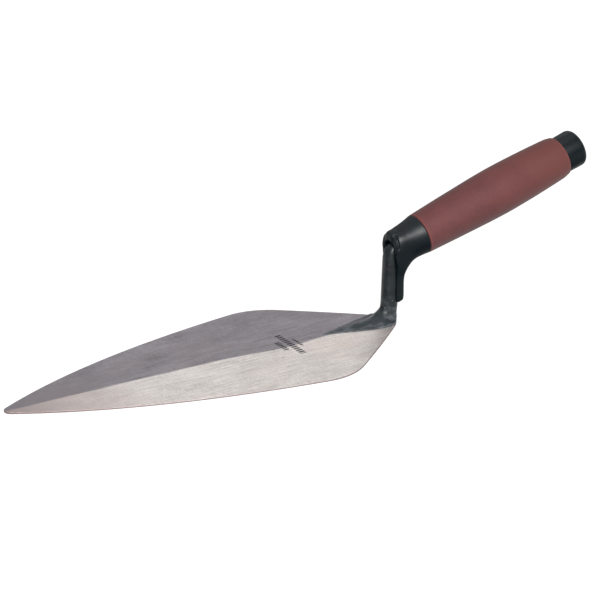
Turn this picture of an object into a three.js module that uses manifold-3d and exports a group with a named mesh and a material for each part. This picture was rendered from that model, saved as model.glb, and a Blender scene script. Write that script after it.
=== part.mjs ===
// A brick trowel: a flat pointed steel blade, a forged shank that cranks up from a kite-shaped foot on the
// blade's heel, and a straight handle made of a rigid core, a soft grip sleeve, a moulded finger guard and a
// butt cap. Millimetres, +Z up. While it is modelled, x = 0 is the heel's rear end, the point lies towards
// -X, the handle towards +X, the blade's underside is z = 0 and y = 0 is the plane of symmetry. The last
// step moves the origin under the middle of the whole trowel.
import * as THREE from "three";
import { mergeVertices } from "three/addons/utils/BufferGeometryUtils.js";
import Module from "manifold-3d";

const wasm = await Module();
wasm.setup();

// ---------------------------------------------------------------- driving dimensions
const GAP = 0.3; // clearance between two pieces that touch on the real trowel
const REACH = 100; // longer than the handle's crank is tall, for cutting tools

const BLADE = {
  length: 279.4, // 11 in, point to heel
  halfWidth: 61.9, // 4 7/8 in across the hips
  pointRadius: 4.5,
  pointAngle: THREE.MathUtils.degToRad(29), // between the centre line and each side, at the point
  sideBowX: -203, // control point of the long side's curve
  sideBowY: 45.4,
  hipX: -80,
  hipRound: 8,
  hipCrown: 1.8,
  hipRearX: -58, // where the round hip ends and the edge to the heel starts
  hipRearY: 53.6,
  heelShoulderX: -6.1,
  heelHalfWidth: 9.2,
  heelBulge: 0.7, // how far the edges from the hips to the heel bow outwards
  ridgeAtPoint: 1.2,
  ridgeAtHeel: 1.9,
  sideFall: 0.013, // how much thinner each half gets for every mm away from the ridge
};

const FOOT = {
  apexX: -55,
  rearX: -1.2,
  widestX: -20,
  halfWidth: 10,
  wallAtApex: 0.25,
  wallAtHeel: 1.5,
  crownAtApex: 0.2,
  crownAtShank: 2.8,
};

const SHANK = {
  baseX: -5.1,
  baseZ: 3.2,
  waistZ: 13, // above this height the flare has gone
  bendX: -3.8,
  bendZ: 49.3,
  bendReach: 6.3, // the bend starts and ends this far from the corner
  halfDepth: 5.2, // along X
  halfWidth: 5.4, // along Y
  topShrink: 0.94, // size under the bend against the size at the waist
  flare: 3,
};

const HANDLE = {
  tilt: THREE.MathUtils.degToRad(16.75),
  ringX: 17.6, // centre of the grip's front edge
  ringZ: 55.8,
  gripLength: 112.4,
  capLength: 14.8,
};

const GRIP = {
  frontRadius: 13.4,
  shoulderAt: 29.2, // a point of the curve between the front and the belly
  shoulderRadius: 14.75,
  bellyAt: 63.5,
  bellyRadius: 15.8,
  flankRadius: 15.2, // half way from the belly to the rear
  tuckLength: 6, // the last stretch, which turns in towards the cap
  tuckRadius: 14.15,
  rearRadius: 13.4,
  boreRadius: 10.8,
  rim: 0.8,
};

const CORE = {
  radius: 10.5,
  noseRadius: 9,
  noseLength: 9,
  stubRadius: 8,
  stubLength: 8,
  boreRadius: 5.4,
  boreDepth: 72,
};

const CAP = { radius: 12.4, bevel: 0.5, edge: 3.6, crown: 0.4, socketRadius: 8.3, socketDepth: 8.6 };
const TANG = { length: 68, rootRadius: 4.3, tipRadius: 2.6, pointLength: 4 };

const GUARD = {
  mouthX: -4.9, // front face of the lip round the shank
  faceX: -3.1, // front face of the head behind the lip
  mouthRadius: 5.5,
  mouthZ: 50.2, // centre of the mouth's arch
  mouthDepth: 10,
  lipRadius: 8.4,
  lipZ: 51.2, // centre of the lip's outer arch
  legBottomZ: 45, // where the lip's two legs end, in the tail's front edges
  clearance: 0.35, // between the guard and the shank
};

// The guard is a boot: its sections fan round from the flat tail behind the shank to the round front of the
// grip. Each section runs from a front or top point to a rear or underside point in the plane of symmetry,
// and a section's power says how square it is: 2 is an ellipse.
const GUARD_SECTIONS = [
  { front: [-9, 14.4], rear: [2.6, 14.4], halfWidth: 5.7, power: 4 },
  { front: [-9, 17], rear: [3.7, 17.5], halfWidth: 6.4, power: 4 },
  { front: [-9, 31], rear: [3.9, 30], halfWidth: 6.5, power: 4 },
  { front: [-9, 45], rear: [5.2, 35.2], halfWidth: 8.3, power: 3.4 },
  { front: [-8, 55], rear: [9.2, 39.4], halfWidth: 9.2, power: 2.8 },
  { front: [-3.8, 60.3], rear: [13, 41.2], halfWidth: 9.9, power: 2.4 },
  { front: [1.2, 62.7], rear: [16.6, 42], halfWidth: 10.9, power: 2.15 },
  { front: [6.8, 64.9], rear: [19.2, 42.5], halfWidth: 12.1, power: 2 },
];

const SIDES = { lathe: 48, shank: 28, guard: 40 };

// ---------------------------------------------------------------- solids
const materials = {
  groundSteel: new THREE.MeshStandardMaterial({ color: 0xb9b5b1, roughness: 0.42, metalness: 0.9 }),
  blackLacquer: new THREE.MeshStandardMaterial({ color: 0x2b2f32, roughness: 0.35, metalness: 0.3 }),
  rigidPlastic: new THREE.MeshStandardMaterial({ color: 0x222426, roughness: 0.5, metalness: 0 }),
  softGrip: new THREE.MeshStandardMaterial({ color: 0x7c4c4e, roughness: 0.75, metalness: 0 }),
  blackMoulding: new THREE.MeshStandardMaterial({ color: 0x24282a, roughness: 0.45, metalness: 0 }),
  blackCap: new THREE.MeshStandardMaterial({ color: 0x24282a, roughness: 0.4, metalness: 0 }),
};

function solid(geometry) {
  const bare = geometry.clone();
  bare.deleteAttribute("normal");
  bare.deleteAttribute("uv");
  const merged = mergeVertices(bare, 1e-4);
  return new wasm.Manifold(
    new wasm.Mesh({
      numProp: 3,
      vertProperties: new Float32Array(merged.attributes.position.array),
      triVerts: new Uint32Array(merged.index.array),
    }),
  );
}

function geometryOf(body) {
  const mesh = body.getMesh();
  const geometry = new THREE.BufferGeometry();
  geometry.setAttribute("position", new THREE.BufferAttribute(new Float32Array(mesh.vertProperties), 3));
  geometry.setIndex(new THREE.BufferAttribute(new Uint32Array(mesh.triVerts), 1));
  geometry.computeVertexNormals();
  return geometry;
}

function piece(name, geometry, material) {
  const mesh = new THREE.Mesh(geometry, material);
  mesh.name = name;
  return mesh;
}

// A closed skin through rings of points, with both ends capped. All rings run the same way round.
function loft(rings) {
  const count = rings[0].length;
  const positions = [];
  const index = [];
  rings.forEach((ring) => ring.forEach((p) => positions.push(p.x, p.y, p.z)));
  for (let r = 0; r + 1 < rings.length; r++) {
    for (let i = 0; i < count; i++) {
      const a = r * count + i;
      const b = r * count + ((i + 1) % count);
      index.push(a, b, a + count, b, b + count, a + count);
    }
  }
  const last = (rings.length - 1) * count;
  [0, last].forEach((first, end) => {
    const middle = positions.length / 3;
    const centre = new THREE.Vector3();
    for (let i = 0; i < count; i++) centre.add(new THREE.Vector3().fromArray(positions, 3 * (first + i)));
    centre.divideScalar(count);
    positions.push(centre.x, centre.y, centre.z);
    for (let i = 0; i < count; i++) {
      const a = first + i;
      const b = first + ((i + 1) % count);
      if (end) index.push(a, b, middle);
      else index.push(b, a, middle);
    }
  });
  const geometry = new THREE.BufferGeometry();
  geometry.setAttribute("position", new THREE.Float32BufferAttribute(positions, 3));
  geometry.setIndex(index);
  return geometry;
}

// A body turned about the handle's axis. The profile holds [distance along the axis, radius] pairs and is
// drawn with the axis along +X.
function turned(profile) {
  const points = profile.map(([along, radius]) => new THREE.Vector2(radius, along));
  return new THREE.LatheGeometry(points, SIDES.lathe).rotateZ(-Math.PI / 2);
}

// Places something drawn along +X, with its origin at the grip's front edge, on the handle's axis.
function onHandle(object) {
  object.rotation.y = -HANDLE.tilt;
  object.position.set(HANDLE.ringX, 0, HANDLE.ringZ);
  return object;
}

function handleMatrix() {
  const frame = onHandle(new THREE.Object3D());
  frame.updateMatrix();
  return frame.matrix;
}

// ---------------------------------------------------------------- blade
const ridgeSlope = (BLADE.ridgeAtHeel - BLADE.ridgeAtPoint) / BLADE.length;
const ridgeHeight = (x) => BLADE.ridgeAtHeel + ridgeSlope * x;
const bladeTop = (x, y) => ridgeHeight(x) - BLADE.sideFall * Math.abs(y);

// One half of the blade's outline, from the point to the heel's rear end, on the +Y side.
function halfOutline() {
  const { length, halfWidth, pointRadius, pointAngle, sideBowX, sideBowY } = BLADE;
  const { hipX, hipRound, hipCrown, hipRearX, hipRearY } = BLADE;
  const { heelShoulderX, heelHalfWidth, heelBulge } = BLADE;
  const path = new THREE.Path();
  path.absarc(-length + pointRadius, 0, pointRadius, Math.PI, Math.PI / 2 + pointAngle, true);
  path.quadraticCurveTo(sideBowX, sideBowY, hipX - hipRound, halfWidth - 0.5);
  path.quadraticCurveTo(hipX + hipRound, halfWidth + hipCrown, hipRearX, hipRearY);
  const bowX = (hipRearX + heelShoulderX) / 2 + heelBulge;
  const bowY = (hipRearY + heelHalfWidth) / 2 + heelBulge;
  path.quadraticCurveTo(bowX, bowY, heelShoulderX, heelHalfWidth);
  path.quadraticCurveTo(0, heelHalfWidth - 6, 0, 0);
  return path.getPoints(14);
}

function bladePlan() {
  const half = halfOutline();
  const mirrored = half
    .slice(1, -1)
    .reverse()
    .map((p) => new THREE.Vector2(p.x, -p.y));
  return new THREE.Shape([...half, ...mirrored]);
}

// Everything under the two sloping top faces of the blade, as one roof-shaped prism that reaches past its edges.
function roofPrism() {
  const beyond = 10;
  const wide = BLADE.halfWidth + beyond;
  const ring = (x) => [
    new THREE.Vector3(x, -wide, -1),
    new THREE.Vector3(x, wide, -1),
    new THREE.Vector3(x, wide, bladeTop(x, wide)),
    new THREE.Vector3(x, 0, bladeTop(x, 0)),
    new THREE.Vector3(x, -wide, bladeTop(x, wide)),
  ];
  return solid(loft([ring(-BLADE.length - beyond), ring(beyond)]));
}

function blade() {
  const slab = new THREE.ExtrudeGeometry(bladePlan(), { depth: 5, bevelEnabled: false });
  return piece("blade", geometryOf(solid(slab).intersect(roofPrism())), materials.groundSteel);
}

// ---------------------------------------------------------------- shank forging: foot, crank and tang
function footHalfWidth(x) {
  if (x <= FOOT.widestX) return (FOOT.halfWidth * (x - FOOT.apexX)) / (FOOT.widestX - FOOT.apexX) + 0.3;
  const t = (x - FOOT.widestX) / (FOOT.rearX - FOOT.widestX);
  return (FOOT.halfWidth + 0.3) * Math.max(1 - t ** 5, 0.04) ** 0.7;
}

// The foot is a low kite whose upper face crowns up towards the shank.
function footRing(x) {
  const t = (x - FOOT.apexX) / -FOOT.apexX;
  const half = footHalfWidth(x);
  const wall = THREE.MathUtils.lerp(FOOT.wallAtApex, FOOT.wallAtHeel, t);
  const crown = THREE.MathUtils.lerp(FOOT.crownAtApex, FOOT.crownAtShank, t ** 4);
  const base = (y) => bladeTop(x, y) + GAP;
  const ring = [new THREE.Vector3(x, -half, base(half)), new THREE.Vector3(x, 0, base(0))];
  const steps = 12;
  for (let i = 0; i <= steps; i++) {
    const y = half * (1 - (2 * i) / steps);
    if (i === 0) ring.push(new THREE.Vector3(x, half, base(half)));
    const rise = crown * Math.cos((Math.PI / 2) * (y / half)) ** 1.5;
    ring.push(new THREE.Vector3(x, y, base(y) + wall + rise));
  }
  return ring;
}

function foot() {
  const rings = [];
  const steps = 18;
  for (let i = 0; i <= steps; i++) rings.push(footRing(THREE.MathUtils.lerp(FOOT.apexX, FOOT.rearX, i / steps)));
  return solid(loft(rings));
}

// The shank's centre line: up from the foot, round the bend and along the handle's axis.
function shankPath() {
  const along = new THREE.Vector3(Math.cos(HANDLE.tilt), 0, Math.sin(HANDLE.tilt));
  const base = new THREE.Vector3(SHANK.baseX, 0, SHANK.baseZ);
  const corner = new THREE.Vector3(SHANK.bendX, 0, SHANK.bendZ);
  const ring = new THREE.Vector3(HANDLE.ringX, 0, HANDLE.ringZ);
  const up = corner.clone().sub(base).normalize();
  const bendStart = corner.clone().addScaledVector(up, -SHANK.bendReach);
  const bendEnd = corner.clone().addScaledVector(along, SHANK.bendReach);
  const tip = ring.clone().addScaledVector(along, TANG.length);
  return [
    new THREE.LineCurve3(base, bendStart),
    new THREE.QuadraticBezierCurve3(bendStart, corner, bendEnd),
    new THREE.LineCurve3(bendEnd, tip),
  ];
}

// An oval ring round a point of the centre line, at right angles to its direction.
function ovalRing(centre, direction, halfDepth, halfWidth) {
  const across = new THREE.Vector3(0, 1, 0);
  const back = across.clone().cross(direction);
  return Array.from({ length: SIDES.shank }, (_, i) => {
    const angle = (2 * Math.PI * i) / SIDES.shank;
    return centre
      .clone()
      .addScaledVector(back, halfDepth * Math.cos(angle))
      .addScaledVector(across, halfWidth * Math.sin(angle));
  });
}

// The rising part: it flares forwards and sideways into the foot and gets slimmer towards the bend.
function uprightRings(line, grow) {
  const steps = 12;
  return Array.from({ length: steps + 1 }, (_, i) => {
    const centre = line.getPoint(i / steps);
    const high = THREE.MathUtils.clamp((centre.z - SHANK.waistZ) / (SHANK.bendZ - SHANK.waistZ), 0, 1);
    const size = THREE.MathUtils.lerp(1, SHANK.topShrink, high);
    const low = THREE.MathUtils.clamp((SHANK.waistZ - centre.z) / (SHANK.waistZ - SHANK.baseZ), 0, 1);
    const flare = SHANK.flare * low * low;
    centre.x -= flare;
    return ovalRing(
      centre,
      line.getTangent(0),
      SHANK.halfDepth * size + flare + grow,
      SHANK.halfWidth * size + flare + grow,
    );
  });
}

function bendRings(bend, grow) {
  const steps = 8;
  const depth = SHANK.halfDepth * SHANK.topShrink;
  const width = SHANK.halfWidth * SHANK.topShrink;
  return Array.from({ length: steps }, (_, i) => {
    const t = (i + 0.5) / steps;
    return ovalRing(
      bend.getPoint(t),
      bend.getTangent(t),
      THREE.MathUtils.lerp(depth, TANG.rootRadius, t) + grow,
      THREE.MathUtils.lerp(width, TANG.rootRadius, t) + grow,
    );
  });
}

function tangRings(line, grow) {
  const direction = line.getTangent(0);
  const span = line.getLength();
  const taperEnd = 1 - TANG.pointLength / span;
  return [
    [0, TANG.rootRadius],
    [0.5, (TANG.rootRadius + TANG.tipRadius) / 2 + 0.2],
    [taperEnd, TANG.tipRadius],
    [1, TANG.tipRadius / 2],
  ].map(([t, radius]) => ovalRing(line.getPoint(t), direction, radius + grow, radius + grow));
}

// The whole bar from foot to tang tip, optionally grown all round to make its clearance.
function bar(grow) {
  const [upright, bend, tangLine] = shankPath();
  return solid(loft([...uprightRings(upright, grow), ...bendRings(bend, grow), ...tangRings(tangLine, grow)]));
}

function shank() {
  return piece("shank", geometryOf(bar(0).add(foot())), materials.blackLacquer);
}

// ---------------------------------------------------------------- handle
function gripOuter() {
  const { gripLength } = HANDLE;
  const { frontRadius, shoulderAt, shoulderRadius, bellyAt, bellyRadius } = GRIP;
  const { flankRadius, tuckLength, tuckRadius, rearRadius, rim } = GRIP;
  const side = new THREE.SplineCurve([
    new THREE.Vector2(rim, frontRadius),
    new THREE.Vector2(shoulderAt, shoulderRadius),
    new THREE.Vector2(bellyAt, bellyRadius),
    new THREE.Vector2((bellyAt + gripLength) / 2, flankRadius),
    new THREE.Vector2(gripLength - tuckLength, tuckRadius),
    new THREE.Vector2(gripLength - rim, rearRadius),
  ]).getPoints(20);
  return side.map((p) => [p.x, p.y]);
}

function gripSleeve() {
  const { gripLength } = HANDLE;
  const { frontRadius, rearRadius, boreRadius, rim } = GRIP;
  const profile = [
    [0, boreRadius],
    [0, frontRadius - rim],
    ...gripOuter(),
    [gripLength, rearRadius - rim],
    [gripLength, boreRadius],
    [0, boreRadius],
  ];
  return onHandle(piece("grip_sleeve", turned(profile), materials.softGrip));
}

function handleCore() {
  const { gripLength } = HANDLE;
  const { radius, noseRadius, noseLength, stubRadius, stubLength, boreRadius, boreDepth } = CORE;
  const profile = [
    [boreDepth, 0],
    [boreDepth, boreRadius],
    [-noseLength, boreRadius],
    [-noseLength, noseRadius],
    [0, noseRadius],
    [0, radius],
    [gripLength, radius],
    [gripLength, stubRadius],
    [gripLength + stubLength, stubRadius],
    [gripLength + stubLength, 0],
  ];
  return onHandle(piece("handle_core", turned(profile), materials.rigidPlastic));
}

function endCap() {
  const start = HANDLE.gripLength + GAP;
  const end = HANDLE.gripLength + HANDLE.capLength;
  const { radius, bevel, edge, crown, socketRadius, socketDepth } = CAP;
  const round = Array.from({ length: 7 }, (_, i) => {
    const angle = (Math.PI / 2) * (i / 6);
    return [end - edge + edge * Math.sin(angle), radius - edge + edge * Math.cos(angle)];
  });
  const profile = [
    [start + socketDepth, 0],
    [start + socketDepth, socketRadius],
    [start, socketRadius],
    [start, radius - bevel],
    [start + bevel, radius],
    ...round,
    [end + crown, 0],
  ];
  return onHandle(piece("end_cap", turned(profile), materials.blackCap));
}

// ---------------------------------------------------------------- finger guard
// A rounded-square ring between a front and a rear point of the plane of symmetry.
function sectionRing({ front, rear, halfWidth, power }) {
  const middle = new THREE.Vector3((front[0] + rear[0]) / 2, 0, (front[1] + rear[1]) / 2);
  const reachForward = new THREE.Vector3(front[0] - middle.x, 0, front[1] - middle.z);
  return Array.from({ length: SIDES.guard }, (_, i) => {
    const angle = (2 * Math.PI * i) / SIDES.guard;
    const c = Math.cos(angle);
    const s = Math.sin(angle);
    const reach = (Math.abs(c) ** power + Math.abs(s) ** power) ** (-1 / power);
    const point = middle.clone().addScaledVector(reachForward, reach * s);
    point.y = halfWidth * reach * c;
    return point;
  });
}

// The round section that meets the grip's front edge.
function guardEndSection() {
  const radius = GRIP.frontRadius - 0.1;
  const lean = [Math.sin(HANDLE.tilt), Math.cos(HANDLE.tilt)];
  const x = HANDLE.ringX - GAP * lean[1];
  const z = HANDLE.ringZ - GAP * lean[0];
  return {
    front: [x - radius * lean[0], z + radius * lean[1]],
    rear: [x + radius * lean[0], z - radius * lean[1]],
    halfWidth: radius,
    power: 2,
  };
}

// Sections between the listed ones lie on smooth curves through them.
function smoothSections(sections, between) {
  const values = sections.map(({ front, rear, halfWidth, power }) => [...front, ...rear, halfWidth, power]);
  const smooth = [];
  for (let i = 0; i + 1 < values.length; i++) {
    const before = values[Math.max(i - 1, 0)];
    const after = values[Math.min(i + 2, values.length - 1)];
    for (let step = 0; step < between; step++) {
      const t = step / between;
      smooth.push(values[i].map((v, k) => catmullRom(t, before[k], v, values[i + 1][k], after[k])));
    }
  }
  smooth.push(values[values.length - 1]);
  return smooth.map(([frontX, frontZ, rearX, rearZ, halfWidth, power]) => ({
    front: [frontX, frontZ],
    rear: [rearX, rearZ],
    halfWidth,
    power,
  }));
}

function catmullRom(t, before, start, end, after) {
  const leave = (end - before) / 2;
  const arrive = (after - start) / 2;
  const bend = 3 * (end - start) - 2 * leave - arrive;
  return start + leave * t + bend * t ** 2 + (2 * (start - end) + leave + arrive) * t ** 3;
}

function guardBoot() {
  const sections = smoothSections([...GUARD_SECTIONS, guardEndSection()], 3);
  return solid(loft(sections.map(sectionRing)));
}

// A block along X with straight sides and a half-round top.
function archBlock(fromX, toX, radius, centreZ, bottomZ) {
  const arch = new THREE.Shape();
  arch.moveTo(radius, bottomZ);
  arch.absarc(0, centreZ, radius, 0, Math.PI, false);
  arch.lineTo(-radius, bottomZ);
  arch.closePath();
  const settings = { depth: toX - fromX, bevelEnabled: false, curveSegments: 20 };
  const block = new THREE.ExtrudeGeometry(arch, settings);
  const across = new THREE.Vector3(0, 1, 0);
  const up = new THREE.Vector3(0, 0, 1);
  block.applyMatrix4(new THREE.Matrix4().makeBasis(across, up, new THREE.Vector3(1, 0, 0)));
  return solid(block.translate(fromX, 0, 0));
}

// Everything in front of the head's flat face, so that the tail's two arms reach only half round the shank.
function openFront() {
  const cut = new THREE.BoxGeometry(REACH, REACH, REACH);
  return solid(cut.translate(GUARD.faceX - REACH / 2, 0, REACH / 2));
}

// The room for the front of the handle core.
function coreSocket() {
  const reach = CORE.noseLength + GAP;
  const profile = [
    [-reach, 0],
    [-reach, CORE.noseRadius + GAP],
    [2, CORE.noseRadius + GAP],
    [2, 0],
  ];
  return solid(turned(profile).applyMatrix4(handleMatrix()));
}

function fingerGuard() {
  const { mouthX, faceX, mouthRadius, mouthZ, mouthDepth, lipRadius, lipZ, legBottomZ, clearance } = GUARD;
  const body = guardBoot()
    .subtract(openFront())
    .add(archBlock(mouthX, faceX + 1, lipRadius, lipZ, legBottomZ))
    .subtract(archBlock(mouthX - 1, mouthX + mouthDepth, mouthRadius, mouthZ, legBottomZ - 1))
    .subtract(bar(clearance))
    .subtract(coreSocket());
  return piece("finger_guard", geometryOf(body), materials.blackMoulding);
}

// ---------------------------------------------------------------- assembly
const trowel = new THREE.Group();
trowel.add(blade(), shank(), handleCore(), gripSleeve(), fingerGuard(), endCap());

const box = new THREE.Box3().setFromObject(trowel, true);
trowel.children.forEach((child) => {
  child.position.x -= (box.min.x + box.max.x) / 2;
});

export default trowel;
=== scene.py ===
"""The looks of a brick trowel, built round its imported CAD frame.

Shapes are worked out in millimetres in the frame the trowel is drawn in: x = 0 is the rear end of the
blade's heel, the point lies towards -X, the handle towards +X, z = 0 is the blade's underside and y = 0 the
plane of symmetry. The last step of each piece turns them into metres in the row's frame. Materials use the
row's frame and metres throughout.
"""

import math

import bmesh
import bpy
import numpy as np
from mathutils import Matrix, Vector


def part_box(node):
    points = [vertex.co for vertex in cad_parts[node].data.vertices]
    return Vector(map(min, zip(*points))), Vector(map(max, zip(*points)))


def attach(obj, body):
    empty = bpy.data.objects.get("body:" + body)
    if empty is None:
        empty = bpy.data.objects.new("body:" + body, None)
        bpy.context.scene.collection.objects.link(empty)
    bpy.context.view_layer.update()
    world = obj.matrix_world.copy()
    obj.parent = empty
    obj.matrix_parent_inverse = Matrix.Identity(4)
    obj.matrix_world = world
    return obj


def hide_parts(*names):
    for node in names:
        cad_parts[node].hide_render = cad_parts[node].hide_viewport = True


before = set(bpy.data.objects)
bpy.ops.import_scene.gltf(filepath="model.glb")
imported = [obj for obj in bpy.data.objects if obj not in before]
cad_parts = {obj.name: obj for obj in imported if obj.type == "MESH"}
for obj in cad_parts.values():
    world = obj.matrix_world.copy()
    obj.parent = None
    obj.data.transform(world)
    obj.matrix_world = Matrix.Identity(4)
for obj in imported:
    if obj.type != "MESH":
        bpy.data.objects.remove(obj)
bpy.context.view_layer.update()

MM = 0.001
HEEL_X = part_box("blade")[1].x  # where x = 0 of the drawing frame lies in the row's frame, in metres
POINT_X = HEEL_X - 0.279  # the blade's point in the row's frame, in metres

# ---------------------------------------------------------------- driving dimensions, in millimetres
BLADE_LENGTH = 279.4
BLADE_HALF_WIDTH = 61.9
POINT_RADIUS = 4.5
POINT_ANGLE = math.radians(29)  # between the centre line and each side, at the point
SIDE_BOW = (-203, 45.4)  # control point of the long side's curve
HIP_X = -80
HIP_ROUND = 8
HIP_CROWN = 1.8
HIP_REAR = (-58, 53.6)  # where the round hip ends and the edge to the heel starts
HEEL_SHOULDER = (-6.1, 9.2)
HEEL_BULGE = 0.7  # how far the edges from the hips to the heel bow outwards
RIDGE_AT_POINT = 1.2
RIDGE_AT_HEEL = 1.9
SIDE_FALL = 0.013  # how much thinner each half gets for every mm away from the ridge
EDGE_ROUND = 0.22
LEAN = 0.1  # how far the ground halves' reflections lean outwards

FOOT_APEX_X = -55
FOOT_WIDEST_X = -20
FOOT_HEEL_X = -8  # from here back the foot's heel end rounds off
FOOT_HEEL_REACH = 7.2
FOOT_HALF_WIDTH = 10.3
FLANGE_THICKNESS = (0.35, 1.6)  # this and the rib's two sizes: at the foot's apex, and at its rear
RIB_HEIGHT = (0.2, 3.4)
RIB_HALF_WIDTH = (1.2, 5.2)

SHANK_BASE = np.array([-5.1, 2.4])  # as [x, z]
SHANK_CORNER = np.array([-3.8, 49.3])  # where the centre line would turn if the bend were sharp
BEND_REACH = 5  # the bend starts and ends this far from the corner
WAIST_Z = 13  # the bar gets slimmer from here up to SLIM_Z
SLIM_Z = 49.1
BAR_HALF_SIZE = np.array([5.2, 5.4])  # half depth and half width at the waist
BAR_TOP_SHRINK = 0.94  # size under the bend against the size at the waist
BEND_HALF_SIZE = np.array([4.9, 5.05])
TANG_RADII = (4.3, 2.6)  # where the bend ends, and near the tip
TANG_END_RADIUS = 1.6
TANG_LENGTH = 68
FILLET_AROUND = 1.6  # between bar and foot, at the sides and the rear
FILLET_IN_FRONT = 10.5
FLARE_TOP_Z = 15  # below this the bar leans forward a little and its rear face is cut flat
FLARE_HEIGHT = 13
SHANK_BOTTOM_Z = 0.5  # inside the blade

TILT = math.radians(16.75)
ALONG = np.array([math.cos(TILT), math.sin(TILT)])  # the handle's axis, as [x, z]
OUTWARD = np.array([-math.sin(TILT), math.cos(TILT)])  # at right angles to it, upwards
RING = np.array([17.6, 55.8])  # centre of the grip's front edge
GAP = 0.3  # clearance between two pieces that touch on the real trowel

GRIP_LENGTH = 112.4
GRIP_KNOTS = [(0, 13.4), (29, 14.75), (63.5, 15.8), (87.5, 15.2), (GRIP_LENGTH, 13.95)]  # along, radius
GRIP_BORE = 10.8
GRIP_FRONT_ROUND = 0.8
GRIP_REAR_ROUND = 0.9
GRIP_TUCK = 0.9  # how far the rear end turns in towards the cap
GRIP_TUCK_LENGTH = 6

CAP_LENGTH = 14.8
CAP_RADIUS = 12.4
CAP_FRONT_RADIUS = 12.2
CAP_BEVEL = 0.15
CAP_EDGE = 3.6
CAP_CROWN = 0.4
CAP_SOCKET_RADIUS = 8.3
CAP_SOCKET_DEPTH = 8.6
TURNED_SEGMENTS = 128

GUARD_SECTIONS = [  # front or top point, rear or underside point, half width, squareness
    (-9, 15, 2.4, 15, 6.0, 4),
    (-9, 17, 3.7, 17.5, 6.4, 4),
    (-9, 31, 3.9, 30, 6.5, 4),
    (-9, 45, 5.2, 35.2, 8.3, 3.4),
    (-8, 55, 9.2, 39.4, 9.2, 2.8),
    (-3.8, 60.4, 13, 41.2, 9.9, 2.4),
    (1.2, 62.9, 16.6, 42, 10.9, 2.15),
    (6.8, 65.3, 19.2, 42.5, 12.1, 2),
]
GUARD_END_RADIUS = 13.3  # of the round section at the grip
TAIL_BOTTOM_Z = 14.4
FACE_X = -3.1
FACE_TURN_Z = 35  # above this the face comes forward, up to the mouth's edge
MOUTH_X = -4.9
MOUTH_Z = 50.2
MOUTH_RADIUS = 5.4
MOUTH_DEPTH = 10
MOUTH_BOTTOM_Z = 42
LIP_HALF_WIDTH = 8.8
LIP_HEIGHT = 10.4
LIP_DEPTH = 2
LIP_BOTTOM_Z = 47
GROOVE_RADIUS = 0.75
BAR_CLEARANCE = 0.35
CORE_NOSE_ROOM = 9.3  # radius and depth of the guard's socket for the handle core

MARK_ROWS = [  # centre x and y, length across the blade, height and pitch of each row of printed ticks
    (-79.6, -1.7, 33, 4.2, 2.9),
    (-74, -1.6, 12.5, 2.0, 2.5),
    (-86, -1.7, 13.5, 3.4, 2.3),
]

CAMERA_AZIMUTH = math.radians(-31.439)
CAMERA_ELEVATION = math.radians(21.978)
CAMERA_AIM = (-75.05, 0, 33.3)
CAMERA_SENSOR = 36
CAMERA_LENS = 209.979
CAMERA_DISTANCE = 2.1526  # in metres


# ---------------------------------------------------------------- fields: negative inside, zero on the skin
def smooth_min(a, b, reach):
    share = np.clip(0.5 + 0.5 * (b - a) / reach, 0, 1)
    return b + (a - b) * share - reach * share * (1 - share)


def smooth_max(a, b, reach):
    return -smooth_min(-a, -b, reach)


def smooth_step(t):
    t = np.clip(t, 0, 1)
    return t * t * (3 - 2 * t)


def lerp(a, b, t):
    return a + (b - a) * t


def cubic(start, end, leave, arrive, t):
    """A smooth run from start to end that leaves and arrives with the given slopes."""
    bulge = 3 * (end - start) - 2 * leave - arrive
    turn = 2 * (start - end) + leave + arrive
    return start + leave * t + bulge * t**2 + turn * t**3


def crossed_edges(value, axis):
    """Grid edges along an axis that the surface crosses: first corners, crossings, which quads to flip."""
    first = np.moveaxis(value, axis, 0)[:-1]
    second = np.moveaxis(value, axis, 0)[1:]
    found = np.argwhere((first < 0) != (second < 0))
    a = first[tuple(found.T)]
    b = second[tuple(found.T)]
    order = [axis] + [k for k in range(3) if k != axis]
    corner = np.empty_like(found)
    corner[:, order] = found
    crossing = corner.astype(float)
    crossing[:, axis] += a / (a - b)
    return corner, crossing, (a < 0) == (axis == 1)


def skin(field, low, high, step):
    """Vertices and quads of a field's zero surface, with one vertex in each grid cell that it crosses."""
    axes = [np.arange(a, b + step, step) for a, b in zip(low, high)]
    value = field(axes[0][:, None, None], axes[1][None, :, None], axes[2][None, None, :])
    cells = np.array(value.shape) - 1
    sums = np.zeros((4, cells.prod()))  # for each cell: the sum of its crossings, and how many there are
    rings = []
    for axis in range(3):
        corner, crossing, flipped = crossed_edges(value, axis)
        one, two = [k for k in range(3) if k != axis]
        around = []
        for da, db in ((0, 0), (1, 0), (1, 1), (0, 1)):
            cell = corner.copy()
            cell[:, one] -= da
            cell[:, two] -= db
            number = np.ravel_multi_index(cell.T, cells)
            for k in range(3):
                sums[k] += np.bincount(number, crossing[:, k], cells.prod())
            sums[3] += np.bincount(number, minlength=cells.prod())
            around.append(number)
        quads = np.stack(around, 1)
        quads[flipped] = quads[flipped][:, ::-1]
        rings.append(quads)
    used = np.flatnonzero(sums[3])
    place = np.full(cells.prod(), -1)
    place[used] = np.arange(len(used))
    points = (sums[:3, used] / sums[3, used]).T * step + np.array([a[0] for a in axes])
    return settle(field, points, step), place[np.concatenate(rings)]


def settle(field, points, step):
    """Moves points onto the field's zero surface, each by less than half a cell in a round."""
    nudge = 0.02
    rounds = 4
    for _ in range(rounds):
        value = field(*points.T)
        slope = np.empty_like(points)
        for k in range(3):
            ahead = points.copy()
            ahead[:, k] += nudge
            slope[:, k] = (field(*ahead.T) - value) / nudge
        size = np.maximum((slope**2).sum(1), 0.05)
        move = -slope * (value / size)[:, None]
        length = np.maximum(np.linalg.norm(move, axis=1), 1e-9)
        points = points + move * np.minimum(1, 0.45 * step / length)[:, None]
    return points


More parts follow.
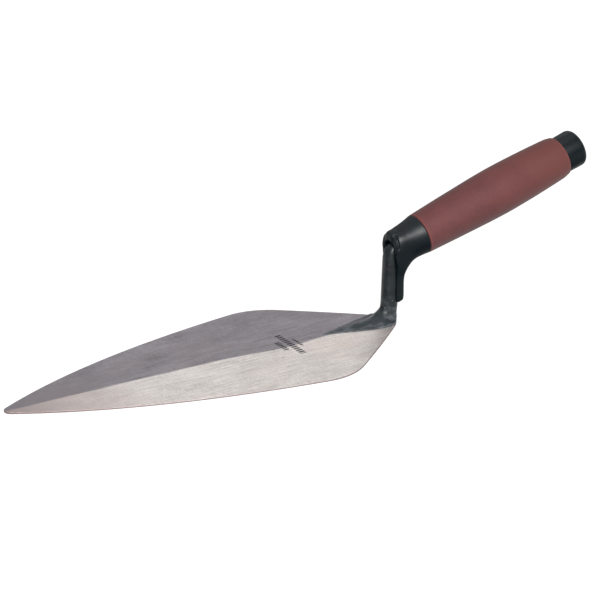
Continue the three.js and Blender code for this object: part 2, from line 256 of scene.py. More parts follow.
def ridge_height(x):
    return RIDGE_AT_HEEL + (RIDGE_AT_HEEL - RIDGE_AT_POINT) / BLADE_LENGTH * x


def blade_top(x, y):
    return ridge_height(x) - SIDE_FALL * np.abs(y)


# ---------------------------------------------------------------- meshes
def add_piece(name, points, faces, material, node):
    """A smooth-shaded mesh that rides on the root body and stands for one CAD node."""
    mesh = bpy.data.meshes.new(name)
    placed = np.asarray(points, float) * MM + [HEEL_X, 0, 0]
    mesh.from_pydata(placed.tolist(), [], [list(map(int, f)) for f in faces])
    mesh.validate()
    mesh.shade_smooth()
    mesh.materials.append(material)
    piece = bpy.data.objects.new(name, mesh)
    bpy.context.scene.collection.objects.link(piece)
    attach(piece, "root")
    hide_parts(node)
    return piece


def quadratic(start, control, end, count):
    t = np.linspace(0, 1, count + 1)[1:, None]
    start, control, end = map(np.array, (start, control, end))
    return (1 - t) ** 2 * start + 2 * t * (1 - t) * control + t**2 * end


def half_outline():
    """The blade's outline on the +Y side, from the point to the heel's rear end."""
    centre = np.array([POINT_RADIUS - BLADE_LENGTH, 0])
    angles = np.linspace(math.pi, math.pi / 2 + POINT_ANGLE, 17)[:, None]
    point = centre + POINT_RADIUS * np.hstack([np.cos(angles), np.sin(angles)])
    before_hip = (HIP_X - HIP_ROUND, BLADE_HALF_WIDTH - 0.5)
    hip = (HIP_X + HIP_ROUND, BLADE_HALF_WIDTH + HIP_CROWN)
    bow = [(a + b) / 2 + HEEL_BULGE for a, b in zip(HIP_REAR, HEEL_SHOULDER)]
    return np.vstack(
        [
            point,
            quadratic(point[-1], SIDE_BOW, before_hip, 90),
            quadratic(before_hip, hip, HIP_REAR, 28),
            quadratic(HIP_REAR, bow, HEEL_SHOULDER, 30),
            quadratic(HEEL_SHOULDER, (0, HEEL_SHOULDER[1] - 6), (0, 0), 14),
        ]
    )


def inset(outline, distance):
    """The half outline moved inwards; its two ends stay on the centre line."""
    ahead = np.gradient(outline, axis=0)
    normal = np.stack([ahead[:, 1], -ahead[:, 0]], 1)
    normal /= np.linalg.norm(normal, axis=1)[:, None]
    normal[0] = [1, 0]
    normal[-1] = [-1, 0]
    moved = outline + normal * distance
    moved[[0, -1], 1] = 0
    return moved


def blade_mesh():
    """Rows of points from the ridge out to the edge, round it and back underneath, for each half."""
    outline = half_outline()
    inner = inset(outline, EDGE_ROUND + 0.4)
    shares = np.linspace(0, 1, 11)
    angles = np.radians([0, 30, 60, 90])
    rims = [(EDGE_ROUND * (1 - math.sin(a)), EDGE_ROUND * (1 - math.cos(a))) for a in angles]
    columns = []
    for share in shares:
        columns.append((inner * [1, share], "top", 0))
    for inwards, down in rims:
        columns.append((inset(outline, inwards), "top", down))
    for inwards, down in reversed(rims):
        columns.append((inset(outline, inwards), "bottom", down))
    for share in reversed(shares):
        columns.append((inner * [1, share], "bottom", 0))
    grid = []
    for place, side, down in columns:
        top = blade_top(place[:, 0], place[:, 1]) - down
        z = top if side == "top" else np.full(len(place), float(down))
        grid.append(np.column_stack([place, z]))
    grid = np.array(grid)
    points = []
    faces = []
    rows, count = grid.shape[:2]
    for side in (1, -1):
        first = len(points)
        points.extend((grid * [1, side, 1]).reshape(-1, 3))
        for r in range(rows - 1):
            for i in range(count - 1):
                a = first + r * count + i
                quad = [a, a + 1, a + count + 1, a + count]
                faces.append(quad if side < 0 else quad[::-1])
    return np.array(points), faces


def lathe(profile):
    """A body turned about the handle's axis, from [distance along it, radius] pairs."""
    segments = TURNED_SEGMENTS
    angles = np.linspace(0, 2 * math.pi, segments, endpoint=False)
    points = []
    faces = []
    for along, radius in profile:
        for angle in angles:
            x, z = RING + ALONG * along + OUTWARD * radius * math.cos(angle)
            points.append([x, radius * math.sin(angle), z])
    for r in range(len(profile) - 1):
        for i in range(segments):
            j = (i + 1) % segments
            a = r * segments + i
            b = r * segments + j
            faces.append([a, b, b + segments, a + segments])
    return np.array(points), faces


def spline_radius(along, knots):
    """Radius at a distance along the axis, on a smooth curve through [distance, radius] knots."""
    places, radii = np.array(knots, float).T
    slope = np.gradient(radii, places)
    i = np.clip(np.searchsorted(places, along) - 1, 0, len(places) - 2)
    span = places[i + 1] - places[i]
    return cubic(radii[i], radii[i + 1], slope[i] * span, slope[i + 1] * span, (along - places[i]) / span)


def corner_round(along, radius, size, direction):
    """A quarter round from an end face (direction -1: front, +1: rear) to the side, as profile pairs."""
    pairs = []
    for angle in np.linspace(0, math.pi / 2, 7):
        inwards = size * (1 - math.cos(angle))
        pairs.append((along - direction * inwards, radius - size * (1 - math.sin(angle))))
    return pairs


# ---------------------------------------------------------------- shank
def shank_line():
    """The centre line in the plane of symmetry, as rows of x, z, half depth and half width."""
    up = (SHANK_CORNER - SHANK_BASE) / np.linalg.norm(SHANK_CORNER - SHANK_BASE)
    bend_start = SHANK_CORNER - up * BEND_REACH
    bend_end = SHANK_CORNER + ALONG * BEND_REACH
    tip = RING + ALONG * TANG_LENGTH
    root, slim = TANG_RADII
    rows = []
    for t in np.linspace(0, 1, 12):
        spot = lerp(SHANK_BASE, bend_start, t)
        high = np.clip((spot[1] - WAIST_Z) / (SLIM_Z - WAIST_Z), 0, 1)
        rows.append([*spot, *(BAR_HALF_SIZE * lerp(1, BAR_TOP_SHRINK, high))])
    for t in np.linspace(0, 1, 12)[1:]:
        spot = (1 - t) ** 2 * bend_start + 2 * t * (1 - t) * SHANK_CORNER + t**2 * bend_end
        rows.append([*spot, *lerp(BEND_HALF_SIZE, root, t)])
    for t in (0.4, 0.75, 0.94):
        radius = lerp(root, slim, t)
        rows.append([*lerp(bend_end, tip, t), radius, radius])
    rows.append([*tip, TANG_END_RADIUS, TANG_END_RADIUS])
    return np.array(rows)


SHANK_LINE = shank_line()


def bar_field(x, y, z):
    """Distance to the bar: oval sections round the nearest point of its centre line."""
    best = np.inf
    across = 0
    depth = 0
    width = 0
    for a, b in zip(SHANK_LINE, SHANK_LINE[1:]):
        run = b[:2] - a[:2]
        length = np.linalg.norm(run)
        t = np.clip(((x - a[0]) * run[0] + (z - a[1]) * run[1]) / length**2, 0, 1)
        dx = x - a[0] - t * run[0]
        dz = z - a[1] - t * run[1]
        gap = dx**2 + dz**2
        near = gap < best
        best = np.where(near, gap, best)
        across = np.where(near, np.sqrt(gap), across)
        depth = np.where(near, lerp(a[2], b[2], t), depth)
        width = np.where(near, lerp(a[3], b[3], t), width)
    squareness = 2.3
    oval = ((across / depth) ** squareness + (np.abs(y) / width) ** squareness) ** (1 / squareness)
    return (oval - 1) * np.minimum(depth, width)


def foot_plan(x, y):
    """Distance to the foot's kite-shaped plan, with a heel end that stays inside the blade's heel."""
    side = np.abs(y)
    flare = FOOT_HALF_WIDTH / (FOOT_WIDEST_X - FOOT_APEX_X)
    nose = (side - (x - FOOT_APEX_X) * flare) / math.hypot(1, flare)
    squareness = 1.6
    rearwards = np.maximum(x - FOOT_HEEL_X, 0) / FOOT_HEEL_REACH
    widest = FOOT_HALF_WIDTH - 0.3 * smooth_step((x + 12) / 6)
    heel = ((rearwards**squareness + (side / widest) ** squareness) ** (1 / squareness) - 1) * 6
    return smooth_max(nose, heel, 2)


def foot_field(x, y, z):
    """A thin flange with a rib along its middle that rises towards the shank."""
    side = np.abs(y)
    t = np.clip((x - FOOT_APEX_X) / -FOOT_APEX_X, 0, 1)
    flange = lerp(*FLANGE_THICKNESS, t)
    rib = lerp(*RIB_HEIGHT, t**1.5) * np.exp(-((side / lerp(*RIB_HALF_WIDTH, t)) ** 2))
    top = z - (blade_top(x, y) + flange + rib)
    return smooth_max(foot_plan(x, y), top, 0.45)


def shank_field(x, y, z):
    """The bar run into the foot, with a wide fillet in front and tight ones at the sides and the rear."""
    low = smooth_step((FLARE_TOP_Z - z) / FLARE_HEIGHT)
    bar = bar_field(x + 0.9 * low, y, z)
    fillet = lerp(FILLET_AROUND, FILLET_IN_FRONT, smooth_step((-5.5 - x) / 7))
    whole = smooth_min(bar, foot_field(x, y, z), fillet)
    nowhere = -5
    rear_face = np.where(z < FLARE_TOP_Z + 1, x - lerp(0.9, -0.5, low), nowhere)
    whole = smooth_max(whole, rear_face, 0.5)
    return np.maximum(whole, SHANK_BOTTOM_Z - z)


# ---------------------------------------------------------------- finger guard
def guard_fan():
    """The listed sections and the round one at the grip, with smooth sections between them."""
    end = RING - ALONG * GAP
    top = end + OUTWARD * GUARD_END_RADIUS
    underside = end - OUTWARD * GUARD_END_RADIUS
    rows = np.array([*GUARD_SECTIONS, (*top, *underside, GUARD_END_RADIUS, 2)], float)
    slope = np.gradient(rows, axis=0)
    fan = []
    for i in range(len(rows) - 1):
        for t in np.linspace(0, 1, 10, endpoint=False):
            fan.append(cubic(rows[i], rows[i + 1], slope[i], slope[i + 1], t))
    fan.append(rows[-1])
    return np.array(fan)


FAN = guard_fan()


def along_handle(x, z):
    """How far a point lies behind the grip's front edge, along the handle's axis."""
    return (x - RING[0]) * ALONG[0] + (z - RING[1]) * ALONG[1]


def boot_field(x, y, z):
    """Distance to the fanned boot: rounded-square sections between their front and rear points."""
    x, z = np.broadcast_arrays(x, z)
    chord = FAN[:, 2:4] - FAN[:, 0:2]
    chord /= np.linalg.norm(chord, axis=1)[:, None]
    ahead = np.stack([c[0] * (z - r[1]) - c[1] * (x - r[0]) for c, r in zip(chord, FAN)])
    number = np.clip((ahead > 0).sum(0) - 1, 0, len(FAN) - 2)
    here = np.take_along_axis(ahead, number[None], 0)[0]
    next_one = np.take_along_axis(ahead, number[None] + 1, 0)[0]
    share = np.clip(here / np.where(here == next_one, 1, here - next_one), 0, 1)
    row = FAN[number] + (FAN[number + 1] - FAN[number]) * share[..., None]
    front_x, front_z, rear_x, rear_z, width, power = np.moveaxis(row, -1, 0)
    reach_x = (rear_x - front_x) / 2
    reach_z = (rear_z - front_z) / 2
    reach = np.hypot(reach_x, reach_z)
    off_middle = (x - (front_x + rear_x) / 2) * reach_x + (z - (front_z + rear_z) / 2) * reach_z
    along = np.abs(off_middle) / reach**2
    square = (along**power + (np.abs(y) / width) ** power) ** (1 / power)
    body = (square - 1) * np.minimum(reach, width)
    body = smooth_max(body, TAIL_BOTTOM_Z - z, 1.6)
    return smooth_max(body, along_handle(x, z) + GAP, 0.4)


def arch(y, z, half_width, height, power):
    """Distance-like value of an arch's outline: rounded above the mouth's centre, straight-sided below."""
    rise = np.maximum(z - MOUTH_Z, 0)
    reach = ((np.abs(y) / half_width) ** power + (rise / height) ** power) ** (1 / power)
    return (reach - 1) * half_width


def add_lip(body, x, y, z):
    """Joins the lip round the mouth to the body, with a groove behind it everywhere but on top."""
    outline = arch(y, z, LIP_HALF_WIDTH, LIP_HEIGHT, 2.3)
    lip = smooth_max(outline, np.abs(x - MOUTH_X - LIP_DEPTH / 2) - LIP_DEPTH / 2, 1.2)
    lip = smooth_max(lip, LIP_BOTTOM_Z - z, 4)
    off_top = smooth_step((np.abs(y) - 2.5) / 2.5)
    body = smooth_min(body, lip, lerp(3.5, 0.8, off_top))
    size = GROOVE_RADIUS * smooth_step((z - MOUTH_Z) / 2.5) * off_top
    groove = np.hypot(outline - 0.1, x - MOUTH_X - LIP_DEPTH + 0.5) - size
    return smooth_max(body, -groove, 0.4)


def core_socket(x, y, z):
    """The room for the handle core's nose."""
    off_axis = (x - RING[0]) * OUTWARD[0] + (z - RING[1]) * OUTWARD[1]
    return np.maximum(np.hypot(off_axis, y) - CORE_NOSE_ROOM, -CORE_NOSE_ROOM - along_handle(x, z))


def guard_field(x, y, z):
    """The boot with a front face and a lip, less the mouth and the room for shank and handle core."""
    face_x = lerp(FACE_X, MOUTH_X, smooth_step((z - FACE_TURN_Z) / 12))
    body = smooth_max(boot_field(x, y, z), face_x - x, 1)
    body = add_lip(body, x, y, z)
    mouth = smooth_max(arch(y, z, MOUTH_RADIUS, MOUTH_RADIUS, 2), x - MOUTH_X - MOUTH_DEPTH, 1)
    mouth = smooth_max(mouth, MOUTH_BOTTOM_Z - z, 2)
    body = smooth_max(body, -mouth, 1.3)
    body = smooth_max(body, BAR_CLEARANCE - bar_field(x, y, z), 0.3)
    return np.maximum(body, -core_socket(x, y, z))


# ---------------------------------------------------------------- materials
class Shader:
    """A material's node tree, with short calls that add and link nodes. The materials call theirs s."""

    def __init__(self, name):
        self.material = bpy.data.materials.new(name)
        self.material.use_nodes = True
        self.tree = self.material.node_tree
        self.tree.nodes.clear()
        self.coords = self.node("ShaderNodeTexCoord").outputs["Object"]

    def node(self, kind, inputs=None, **settings):
        made = self.tree.nodes.new(kind)
        for key, value in settings.items():
            setattr(made, key, value)
        for key, value in (inputs or {}).items():
            self.feed(made.inputs[key], value)
        return made

    def feed(self, socket, value):
        """Links a node's output to a socket, or sets the socket's value."""
        if isinstance(value, bpy.types.NodeSocket):
            self.tree.links.new(value, socket)
        else:
            socket.default_value = value

    def noise(self, scale, stretch=(1, 1, 1), detail=2, roughness=0.5, turn=0):
        """Noise over the trowel's own metres: scale in features per metre, turn in degrees about Z."""
        placing = {"Vector": self.coords, "Scale": stretch, "Rotation": (0, 0, math.radians(turn))}
        mapping = self.node("ShaderNodeMapping", placing)
        made = self.node(
            "ShaderNodeTexNoise",
            {"Vector": mapping.outputs[0], "Scale": scale, "Detail": detail, "Roughness": roughness},
        )
        return made.outputs[0]

    def span(self, value, low, high, out_low=0.0, out_high=1.0):
        """Maps low..high to out_low..out_high, clamped."""
        made = self.node(
            "ShaderNodeMapRange",
            {"Value": value, "From Min": low, "From Max": high, "To Min": out_low, "To Max": out_high},
        )
        return made.outputs[0]

    def mix(self, share, first, second):
        """Mixes two colours: on this node inputs 6 and 7 and output 2 are the colour ones."""
        made = self.node("ShaderNodeMix", data_type="RGBA")
        self.feed(made.inputs[0], share)
        self.feed(made.inputs[6], first)
        self.feed(made.inputs[7], second)
        return made.outputs[2]

    def math(self, operation, first, second=0.0):
        made = self.node("ShaderNodeMath", operation=operation)
        self.feed(made.inputs[0], first)
        self.feed(made.inputs[1], second)
        return made.outputs[0]

    def bump(self, height, distance, strength, normal=None):
        inputs = {"Height": height, "Distance": distance, "Strength": strength}
        if normal is not None:
            inputs["Normal"] = normal
        return self.node("ShaderNodeBump", inputs).outputs[0]

    def upward(self):
        """The z part of the surface's direction: 1 facing up, 0 upright, -1 facing down."""
        normal = self.node("ShaderNodeNewGeometry").outputs["Normal"]
        return self.node("ShaderNodeSeparateXYZ", {"Vector": normal}).outputs[2]

    def finish(self, **inputs):
        """Ends the tree in a Principled surface, whose inputs are named with underscores for spaces."""
        names = {key.replace("_", " "): value for key, value in inputs.items()}
        surface = self.node("ShaderNodeBsdfPrincipled", names)
        self.node("ShaderNodeOutputMaterial", {"Surface": surface.outputs[0]})
        return self.material


def linear_level(level):
    """One channel of a screen colour, from 0..255, as the linear value that nodes take."""
    share = level / 255
    if share <= 0.04045:
        return share / 12.92
    return ((share + 0.055) / 1.055) ** 2.4


def colour(red, green, blue):
    """A node's colour value, from a screen colour's three channels."""
    return (linear_level(red), linear_level(green), linear_level(blue), 1)


def printed_rows(s, x, y):
    """1 in the mark printed across the blade before the foot: rows of plain ticks, without any letters."""
    soft = 0.15
    whole = 0.0
    for centre_x, centre_y, length, height, pitch in MARK_ROWS:
        off_x = s.math("ABSOLUTE", s.math("SUBTRACT", x, centre_x * MM + HEEL_X))
        off_y = s.math("ABSOLUTE", s.math("SUBTRACT", y, centre_y * MM))
        across = s.span(off_x, (height / 2 - soft) * MM, (height / 2 + soft) * MM, 1, 0)
        inside = s.span(off_y, (length / 2 - soft) * MM, (length / 2 + soft) * MM, 1, 0)
        tick = s.span(s.math("FRACT", s.math("MULTIPLY", y, 1 / (pitch * MM))), 0.28, 0.42)
        row = s.math("MULTIPLY", s.math("MULTIPLY", across, inside), tick)
        whole = s.math("MAXIMUM", row, whole)
    return s.math("MULTIPLY", whole, 0.9)


def far_half(s, x, y):
    """0 on the -Y half and 1 on the +Y half; the line between them wanders, and bows before the foot."""
    wander = s.math("MULTIPLY", s.math("SUBTRACT", s.noise(25, (1, 0, 0)), 0.5), 0.0016)
    bow_x = HEEL_X - 0.084
    bow_length = 0.03
    bow_depth = 0.0042
    off_bow = s.math("DIVIDE", s.math("SUBTRACT", x, bow_x), bow_length)
    bell = s.math("EXPONENT", s.math("MULTIPLY", s.math("POWER", off_bow, 2.0), -1.0))
    shift = s.math("ADD", s.math("MULTIPLY", bell, bow_depth), wander)
    soft = 0.0006
    off_line = s.math("ADD", s.math("ADD", y, soft), shift)
    return s.span(off_line, -soft, soft)


def steel_colour(s, x, y, far, patchy):
    """Lighter and darker grinding marks, brownish stains, pits and the printed mark, over painted light and
    shade: the near half is painted lighter than the far one, and both are painted darker towards the point.
    """
    # Painted light and shade: the near half is painted lighter and the far half darker, as lit and shaded
    # copies of one steel. The stains come in the same two copies.
    lit_half_colour = s.mix(patchy, colour(208, 200, 197), colour(252, 247, 243))
    shaded_half_colour = s.mix(patchy, colour(150, 144, 150), colour(196, 190, 196))
    base = s.mix(far, lit_half_colour, shaded_half_colour)
    stain = s.span(s.noise(28, (0.5, 1, 1), 3, 0.6), 0.48, 0.66, 0, 0.4)
    base = s.mix(stain, base, s.mix(far, colour(236, 218, 213), colour(176, 163, 168)))
    # Painted shade: the blade is painted darker towards the point, in a lit and a shaded copy for the two
    # halves.
    shaded_point = s.span(x, POINT_X, POINT_X + 0.089, 0.8, 0)
    base = s.mix(shaded_point, base, s.mix(far, colour(166, 150, 150), colour(151, 144, 149)))
    pits = s.span(s.noise(330, detail=1, roughness=0.4), 0.79, 0.82, 0, 0.75)
    base = s.mix(pits, base, colour(96, 88, 84))
    return s.mix(printed_rows(s, x, y), base, colour(46, 48, 54))


def leaning_normal(s, x, far):
    """The surface's direction, leaned outwards on each half, and less so towards the point."""
    towards_point = s.span(x, POINT_X, POINT_X + 0.079, 0.35, 1)
    lean_y = s.math("MULTIPLY", s.span(far, 0, 1, -LEAN, LEAN), towards_point)
    lean = s.node("ShaderNodeCombineXYZ", {"Y": lean_y})
    normal = s.node("ShaderNodeNewGeometry").outputs["Normal"]
    leaning = s.node("ShaderNodeVectorMath", {0: normal, 1: lean.outputs[0]}, operation="ADD")
    return s.node("ShaderNodeVectorMath", {0: leaning.outputs[0]}, operation="NORMALIZE").outputs[0]


def ground_steel():
    """Belt-ground steel: its two halves were ground at opposite slants, so their reflections lean apart."""
    s = Shader("ground_steel")
    apart = s.node("ShaderNodeSeparateXYZ", {"Vector": s.coords})
    x = apart.outputs[0]
    y = apart.outputs[1]
    far = far_half(s, x, y)
    lines = s.noise(900, (0.06, 1, 1), 3, 0.6, turn=4)
    cross = s.noise(700, (1, 0.2, 1), 3, 0.6, turn=-24)
    grain = s.noise(1500)
    cloud = s.noise(45, (0.6, 1, 1), 4, 0.6)
    tone = s.math("ADD", s.math("MULTIPLY", lines, 0.35), s.math("MULTIPLY", cross, 0.15))
    tone = s.math("ADD", tone, s.math("MULTIPLY", grain, 0.3))
    tone = s.math("ADD", tone, s.math("MULTIPLY", cloud, 0.2))
    patchy = s.span(tone, 0.4, 0.6)
    on_face = s.span(s.upward(), 0.45, 0.97)
    # Painted shade: the rounded edge and the side walls, where the surface turns away from up, are painted
    # darker than the ground faces.
    shaded_edge_colour = colour(130, 115, 113)
    height = s.math("ADD", lines, s.math("MULTIPLY", grain, 0.6))
    return s.finish(
        Base_Color=s.mix(on_face, shaded_edge_colour, steel_colour(s, x, y, far, patchy)),
        Metallic=1.0,
        Roughness=s.math("ADD", s.span(patchy, 0, 1, 0.42, 0.5), s.span(on_face, 0, 1, 0.2, 0)),
        Normal=s.bump(height, 0.00003, 0.6, leaning_normal(s, x, far)),
    )


def black_lacquer():
    """Thin satin lacquer over a forged skin, with shallow scale marks, specks, lighter low parts and a
    painted highlight, broken into scuffed streaks, on the foot's far flange.
    """
    s = Shader("black_lacquer")
    apart = s.node("ShaderNodeSeparateXYZ", {"Vector": s.coords})
    y = apart.outputs[1]
    z = apart.outputs[2]
    forged = s.noise(160, (1, 1, 0.6), 3)
    fine = s.noise(1400)
    base = s.mix(s.span(forged, 0.35, 0.65), colour(5, 11, 13), colour(16, 23, 26))
    specks = s.span(s.noise(620, detail=1, roughness=0.4), 0.75, 0.8)
    base = s.mix(s.math("MULTIPLY", specks, 0.6), base, colour(120, 122, 122))
    streaks = s.noise(420, (0.07, 1, 0), 3, 0.6, turn=-15)
    low = s.span(z, 0.0045, 0.008, 1, 0)
    # Painted highlight on the foot's far flange, low down, broken into scuffed streaks.
    lit_far_flange = s.math("MULTIPLY", s.span(y, 0.0004, 0.0022), low)
    scuffed_highlight = s.math("MULTIPLY", s.span(streaks, 0.42, 0.6, 0.25, 0.95), lit_far_flange)
    base = s.mix(scuffed_highlight, base, colour(112, 108, 114))
    base = s.mix(s.span(z, 0.004, 0.014, 0.4, 0), base, colour(52, 57, 62))
    scraped = s.span(s.noise(220, (0.45, 1, 1), 3, 0.6), 0.46, 0.68, 0, 0.34)
    scuffs = s.math("MULTIPLY", scraped, s.span(z, 0.008, 0.02, 1, 0.1))
    base = s.mix(scuffs, base, colour(112, 116, 120))
    height = s.math("ADD", forged, s.math("MULTIPLY", fine, 0.12))
    return s.finish(
        Base_Color=base,
        Metallic=0.0,
        Roughness=s.span(forged, 0.3, 0.7, 0.34, 0.5),
        Specular_IOR_Level=0.26,
        Normal=s.bump(height, 0.0003, 0.5),
    )


def black_moulding(name, smoothest, roughest):
    """Satin black moulding with a fine spark-eroded texture, duller on its underside."""
    s = Shader(name)
    cloud = s.noise(90, detail=3)
    grain = s.noise(1000, detail=4, roughness=0.6)
    base = s.mix(s.span(cloud, 0.3, 0.7), colour(1, 5, 7), colour(2, 9, 13))
    base = s.mix(s.span(grain, 0.4, 0.7, 0, 0.6), base, colour(7, 18, 24))
    height = s.math("ADD", s.math("MULTIPLY", cloud, 0.3), s.math("MULTIPLY", grain, 0.3))
    return s.finish(
        Base_Color=base,
        Roughness=s.span(grain, 0.3, 0.7, smoothest, roughest),
        Specular_IOR_Level=s.span(s.upward(), -0.3, 0.5, 0.04, 0.29),
        Normal=s.bump(height, 0.00025, 0.4),
    )


def soft_grip():
    """Muted red soft-touch rubber: fine stipple, dusty on the high spots, with painted shade underneath and
    painted highlights at both ends.
    """
    s = Shader("soft_grip")
    cloud = s.noise(60, detail=4, roughness=0.6)
    grain = s.noise(1200, detail=4, roughness=0.6)
    base = s.mix(s.span(cloud, 0.35, 0.65), colour(67, 33, 34), colour(76, 39, 38))
    base = s.mix(s.span(grain, 0.42, 0.66, 0, 0.6), base, colour(90, 48, 47))
    # Painted shade: the underside, facing down, is painted darker.
    base = s.mix(s.span(s.upward(), -0.75, 0.25, 0.45, 0), base, colour(38, 12, 13))
    axis = (ALONG[0], 0, ALONG[1])
    along = s.node("ShaderNodeVectorMath", {0: s.coords, 1: axis}, operation="DOT_PRODUCT").outputs["Value"]
    front = (RING @ ALONG) * MM + HEEL_X * ALONG[0]
    rear = front + GRIP_LENGTH * MM
    base = s.mix(s.span(along, front + 0.05, rear, 0, 0.7), base, colour(80, 41, 36))
    # Painted highlights: both ends of the grip, where the rounding catches the light, are painted lighter.
    front_rim_highlight = s.span(along, front, front + 0.002, 0.5, 0)
    rims = s.math("ADD", front_rim_highlight, s.span(along, rear - 0.002, rear - 0.0005, 0, 0.5))
    base = s.mix(rims, base, colour(98, 48, 46))
    return s.finish(
        Base_Color=base,
        Roughness=s.span(grain, 0.3, 0.7, 0.62, 0.78),
        Specular_IOR_Level=0.25,
        Sheen_Weight=0.05,
        Sheen_Roughness=0.5,
        Normal=s.bump(grain, 0.00012, 0.5),
    )


def hidden_plastic():
    """Plain dark plastic for the core, which only shows when the handle is taken apart."""
    s = Shader("rigid_plastic")
    grain = s.noise(900)
    base = s.mix(grain, colour(32, 32, 34), colour(42, 42, 44))
    return s.finish(Base_Color=base, Roughness=0.5, Normal=s.bump(grain, 0.0001, 0.4))


def floor_material():
    """A pale sheet that glows a little, so that it stays near white."""
    s = Shader("pale_floor")
    base = s.mix(s.noise(3), colour(108, 108, 108), colour(112, 112, 112))
    return s.finish(
        Base_Color=base,
        Roughness=0.8,
        Specular_IOR_Level=0.1,
        Emission_Color=(1, 1, 1, 1),
        Emission_Strength=0.9,
    )


# ---------------------------------------------------------------- pieces
def weld(piece):
    """Joins points that lie together, which closes the seams and drops faces with no area."""
    distance = 1e-6
    work = bmesh.new()
    work.from_mesh(piece.data)
    bmesh.ops.remove_doubles(work, verts=work.verts, dist=distance)
    bmesh.ops.dissolve_degenerate(work, edges=work.edges, dist=distance / 2)
    bmesh.ops.recalc_face_normals(work, faces=work.faces)
    work.to_mesh(piece.data)
    work.free()


def add_blade():
    points, faces = blade_mesh()
    blade = add_piece("trowel_blade", points, faces, ground_steel(), "blade")
    weld(blade)
    for edge in blade.data.edges:
        off_ridge = max(abs(blade.data.vertices[v].co.y) for v in edge.vertices)
        edge.use_edge_sharp = off_ridge < 1e-6


def add_shank():
    points, faces = skin(shank_field, low=(-58, -13, 0.2), high=(85, 13, 78), step=0.5)
    add_piece("forged_shank", points, faces, black_lacquer(), "shank")


def add_guard():
    points, faces = skin(guard_field, low=(-6.5, -14.5, 13.5), high=(23.5, 14.5, 70), step=0.32)
    material = black_moulding("guard_moulding", 0.41, 0.53)
    add_piece("moulded_guard", points, faces, material, "finger_guard")


def add_grip():
    off_round = 0.1  # between the side's first and last points and the rounded ends
    along = np.linspace(GRIP_FRONT_ROUND + off_round, GRIP_LENGTH - GRIP_REAR_ROUND - off_round, 60)
    tuck = GRIP_TUCK * np.maximum((along - GRIP_LENGTH) / GRIP_TUCK_LENGTH + 1, 0) ** 2
    side = [(place, spline_radius(place, GRIP_KNOTS) - inwards) for place, inwards in zip(along, tuck)]
    rear = corner_round(GRIP_LENGTH, side[-1][1], GRIP_REAR_ROUND, 1)
    profile = [
        (0, GRIP_BORE),
        *corner_round(0, side[0][1], GRIP_FRONT_ROUND, -1),
        *side,
        *reversed(rear),
        (GRIP_LENGTH, GRIP_BORE),
        (0, GRIP_BORE),
    ]
    points, faces = lathe(profile)
    grip = add_piece("soft_grip_sleeve", points, faces, soft_grip(), "grip_sleeve")
    weld(grip)


def add_cap():
    start = GRIP_LENGTH + GAP
    end = GRIP_LENGTH + CAP_LENGTH
    flat = CAP_RADIUS - CAP_EDGE
    angles = np.linspace(0, math.pi / 2, 14)
    rounding = [(end - CAP_EDGE + CAP_EDGE * math.sin(a), flat + CAP_EDGE * math.cos(a)) for a in angles]
    crown = [(end + CAP_CROWN * (1 - (radius / flat) ** 2), radius) for radius in (6, 4, 2, 0)]
    profile = [
        (start + CAP_SOCKET_DEPTH, 0),
        (start + CAP_SOCKET_DEPTH, CAP_SOCKET_RADIUS),
        (start, CAP_SOCKET_RADIUS),
        *corner_round(start, CAP_FRONT_RADIUS, CAP_BEVEL, -1),
        *rounding,
        *crown,
    ]
    points, faces = lathe(profile)
    material = black_moulding("cap_moulding", 0.3, 0.4)
    cap = add_piece("butt_cap", points, faces, material, "end_cap")
    weld(cap)


def finish_core():
    """The hidden handle core keeps its CAD solid and gets its own material."""
    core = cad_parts["handle_core"]
    core.data.materials.clear()
    core.data.materials.append(hidden_plastic())


# ---------------------------------------------------------------- studio
def add_floor():
    """A wide sheet just under the blade."""
    mesh = bpy.data.meshes.new("floor")
    far = 30.0
    mesh.from_pydata([(-far, -far, 0), (far, -far, 0), (far, far, 0), (-far, far, 0)], [], [(0, 1, 2, 3)])
    mesh.materials.append(floor_material())
    floor = bpy.data.objects.new("floor", mesh)
    floor.location.z = -0.0002
    bpy.context.scene.collection.objects.link(floor)


def add_softbox(name, place, target, size, power):
    light = bpy.data.lights.new(name, "AREA")
    light.shape = "RECTANGLE"
    light.size, light.size_y = size
    light.energy = power
    lamp = bpy.data.objects.new(name, light)
    lamp.location = place
    lamp.rotation_euler = (Vector(target) - Vector(place)).to_track_quat("-Z", "Y").to_euler()
    bpy.context.scene.collection.objects.link(lamp)


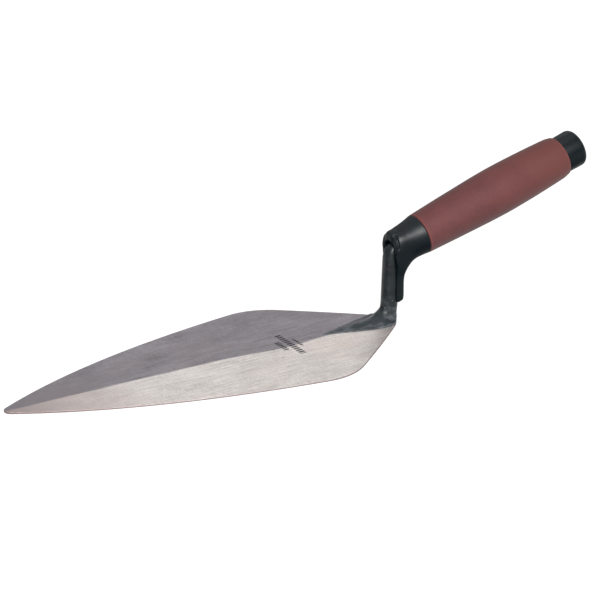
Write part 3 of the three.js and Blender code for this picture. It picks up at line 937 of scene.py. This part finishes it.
def add_sky():
    """A dark room with a bright band about 30 to 40 degrees up, all the way round."""
    world = bpy.data.worlds.new("studio")
    bpy.context.scene.world = world
    world.use_nodes = True
    tree = world.node_tree
    tree.nodes.clear()
    coords = tree.nodes.new("ShaderNodeTexCoord")
    apart = tree.nodes.new("ShaderNodeSeparateXYZ")
    ramp = tree.nodes.new("ShaderNodeValToRGB")
    glow = tree.nodes.new("ShaderNodeBackground")
    out = tree.nodes.new("ShaderNodeOutputWorld")
    tree.links.new(coords.outputs["Generated"], apart.inputs[0])
    tree.links.new(apart.outputs[2], ramp.inputs[0])
    tree.links.new(ramp.outputs[0], glow.inputs[0])
    tree.links.new(glow.outputs[0], out.inputs[0])
    stops = [(0.0, 0.05), (0.25, 0.16), (0.5, 0.92), (0.65, 0.88), (0.85, 0.2), (1.0, 0.1)]  # height, glow
    while len(ramp.color_ramp.elements) < len(stops):
        ramp.color_ramp.elements.new(0.5)
    for element, (at, level) in zip(ramp.color_ramp.elements, stops):
        element.position = at
        element.color = (level, level, level, 1)


def add_camera():
    """A long lens well away from the trowel, in front of its point and to the -Y side."""
    back = Vector(
        (
            math.sin(CAMERA_AZIMUTH) * math.cos(CAMERA_ELEVATION),
            -math.cos(CAMERA_AZIMUTH) * math.cos(CAMERA_ELEVATION),
            math.sin(CAMERA_ELEVATION),
        )
    )
    aim_x, aim_y, aim_z = CAMERA_AIM
    target = Vector((aim_x * MM + HEEL_X, aim_y * MM, aim_z * MM))
    camera = bpy.data.objects.new("camera", bpy.data.cameras.new("camera"))
    camera.data.sensor_width = CAMERA_SENSOR
    camera.data.lens = CAMERA_LENS
    camera.data.clip_end = 100
    camera.location = target + back * CAMERA_DISTANCE
    camera.rotation_euler = (-back).to_track_quat("-Z", "Y").to_euler()
    bpy.context.scene.collection.objects.link(camera)
    bpy.context.scene.camera = camera


add_blade()
add_shank()
add_guard()
add_grip()
add_cap()
finish_core()

add_floor()
add_sky()
add_softbox("overhead", place=(0.1, 0.2, 1.6), target=(0, 0, 0.03), size=(1.2, 1.2), power=5)
add_softbox("key", place=(-0.47, -1.49, 1.09), target=(0.08, 0, 0.055), size=(0.52, 0.52), power=65)
add_camera()
bpy.context.scene.view_settings.view_transform = "Standard"
